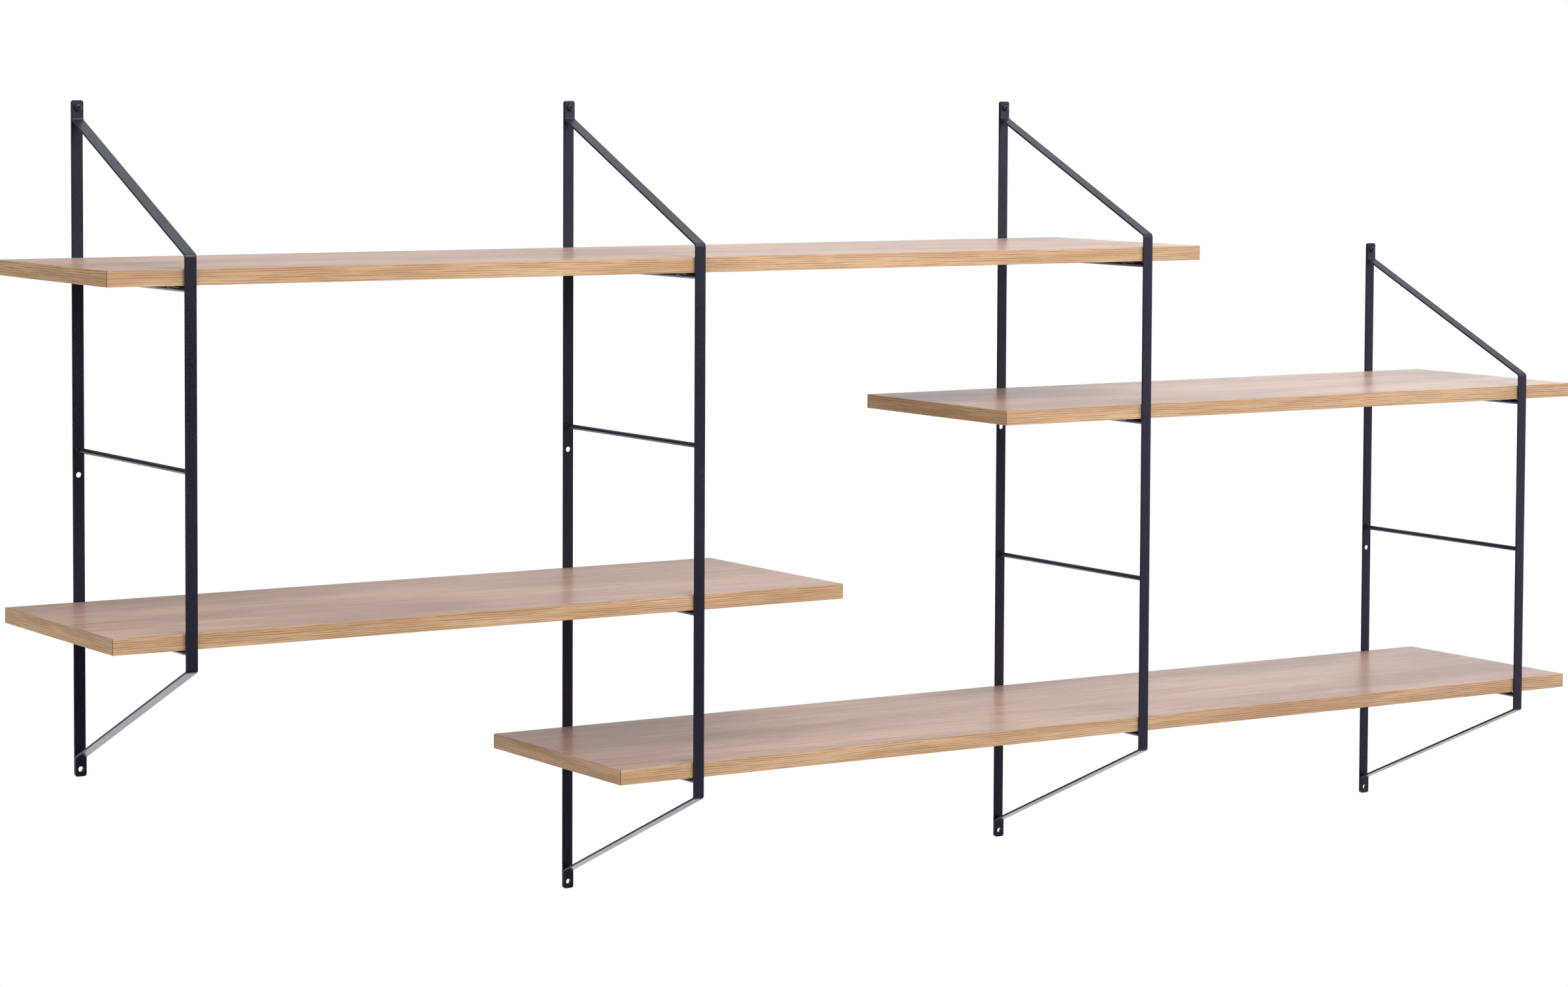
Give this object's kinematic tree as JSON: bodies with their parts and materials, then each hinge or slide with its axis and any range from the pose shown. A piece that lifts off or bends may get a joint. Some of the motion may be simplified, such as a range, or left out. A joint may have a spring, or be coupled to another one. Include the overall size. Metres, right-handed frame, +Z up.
{
  "type": "wall shelf",
  "caption": "Wall shelf of staggered oak-look boards on black ladder brackets of bent flat bar and round rods, screwed to the wall.",
  "frame": {"origin": "on the wall plane, on the centre line of the leftmost bracket, level with the upper surface of the top shelf", "axes": "+X to the right along the wall as seen from the room, +Y into the wall, +Z up"},
  "size_m": [2.147, 0.322, 0.986],
  "materials": {
    "board_face": "satin oak-look laminate, greyish brown, fine grain along the board",
    "edge_band": "satin oak-look edge band, warm tan with thin dark grain lines",
    "bracket_steel": "black powder coat, fine texture, satin",
    "screw_steel": "black oxide, semi-gloss"
  },
  "bodies": {
    "root": {"shelf_board_1": "board_face", "front_band_1": "edge_band", "back_band_1": "edge_band", "end_bands_1": "edge_band", "shelf_screws_1": "screw_steel", "shelf_board_2": "board_face", "front_band_2": "edge_band", "back_band_2": "edge_band", "end_bands_2": "edge_band", "shelf_screws_2": "screw_steel", "shelf_board_3": "board_face", "front_band_3": "edge_band", "back_band_3": "edge_band", "end_bands_3": "edge_band", "shelf_screws_3": "screw_steel", "shelf_board_4": "board_face", "front_band_4": "edge_band", "back_band_4": "edge_band", "end_bands_4": "edge_band", "shelf_screws_4": "screw_steel", "back_strip_1": "bracket_steel", "front_strip_1": "bracket_steel", "wall_screw_1": "screw_steel", "back_strip_2": "bracket_steel", "front_strip_2": "bracket_steel", "wall_screw_2": "screw_steel", "back_strip_3": "bracket_steel", "front_strip_3": "bracket_steel", "wall_screw_3": "screw_steel", "back_strip_4": "bracket_steel", "front_strip_4": "bracket_steel", "wall_screw_4": "screw_steel", "rod_1_level_1": "bracket_steel", "rod_1_level_2": "bracket_steel", "rod_1_level_3": "bracket_steel", "rod_2_level_1": "bracket_steel", "rod_2_level_2": "bracket_steel", "rod_2_level_3": "bracket_steel", "rod_2_level_4": "bracket_steel", "rod_3_level_1": "bracket_steel", "rod_3_level_2": "bracket_steel", "rod_3_level_3": "bracket_steel", "rod_3_level_4": "bracket_steel", "rod_4_level_2": "bracket_steel", "rod_4_level_3": "bracket_steel", "rod_4_level_4": "bracket_steel", "shelf_plate_1_level_1": "bracket_steel", "shelf_plate_2_level_1": "bracket_steel", "shelf_plate_3_level_1": "bracket_steel", "shelf_plate_3_level_2": "bracket_steel", "shelf_plate_4_level_2": "bracket_steel", "shelf_plate_1_level_3": "bracket_steel", "shelf_plate_2_level_3": "bracket_steel", "shelf_plate_2_level_4": "bracket_steel", "shelf_plate_3_level_4": "bracket_steel", "shelf_plate_4_level_4": "bracket_steel"}
  },
  "joints": []
}
